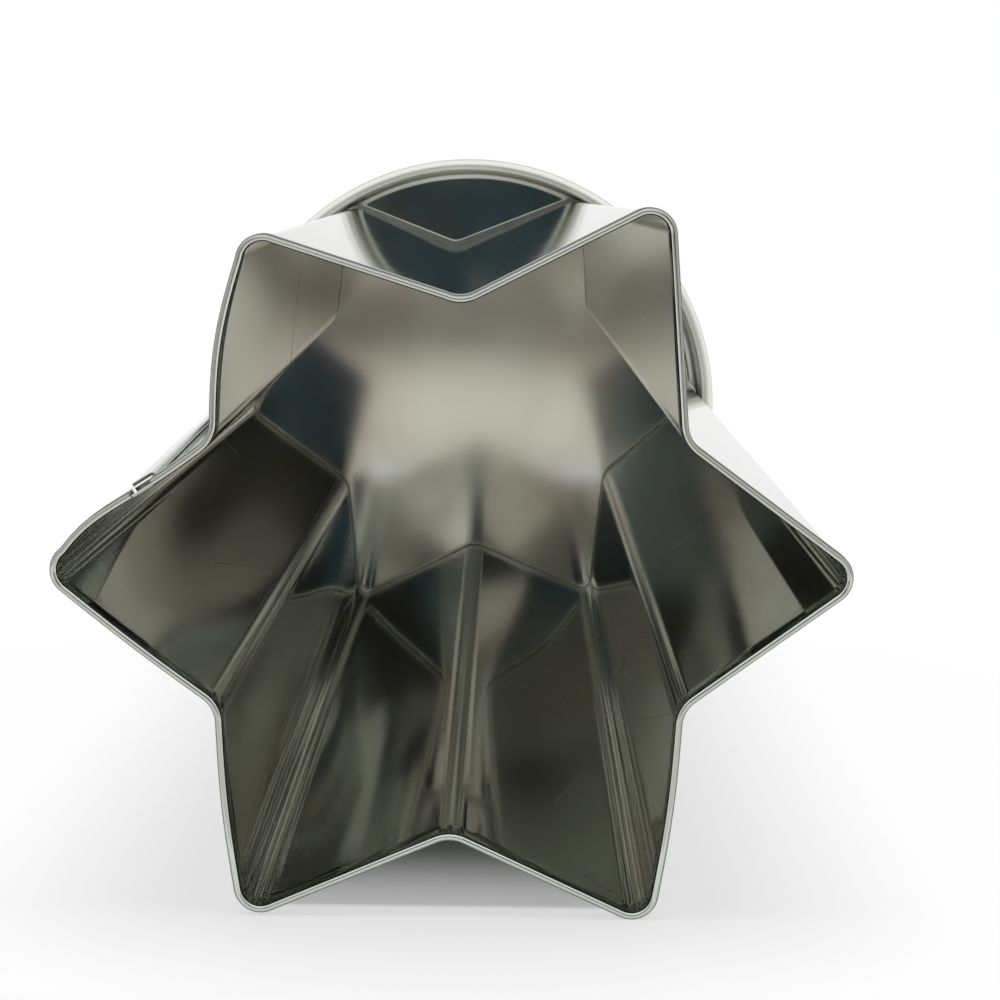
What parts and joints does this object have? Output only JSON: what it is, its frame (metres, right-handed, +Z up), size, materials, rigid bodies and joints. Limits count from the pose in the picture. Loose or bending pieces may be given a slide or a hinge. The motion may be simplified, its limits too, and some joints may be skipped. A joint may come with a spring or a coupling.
{
  "type": "bread tube mold",
  "caption": "Star-section tinplate baking tube with hemmed ends and a lock seam, lying on its side, with a round push-on end cap that slides off along the tube.",
  "frame": {"origin": "middle of the underside of the tube as it lies on its side, on the surface that it rests on", "axes": "+Z up, +Y along the tube from the open end towards the end cap, +X to the right seen from the open end"},
  "size_m": [0.0806, 0.208, 0.0805],
  "materials": {
    "tube_tinplate": "bright tinplate, lightly brushed",
    "cap_tinplate": "bright tinplate, spun and drawn"
  },
  "bodies": {
    "tube": {"tube_shell": "tube_tinplate"},
    "cap": {"end_cap": "cap_tinplate"}
  },
  "joints": [
    {"name": "cap_slide", "type": "slide", "parent": "tube", "child": "cap", "axis": [0, 0.9994, 0.0359], "range_m": [0, 0.025]}
  ]
}
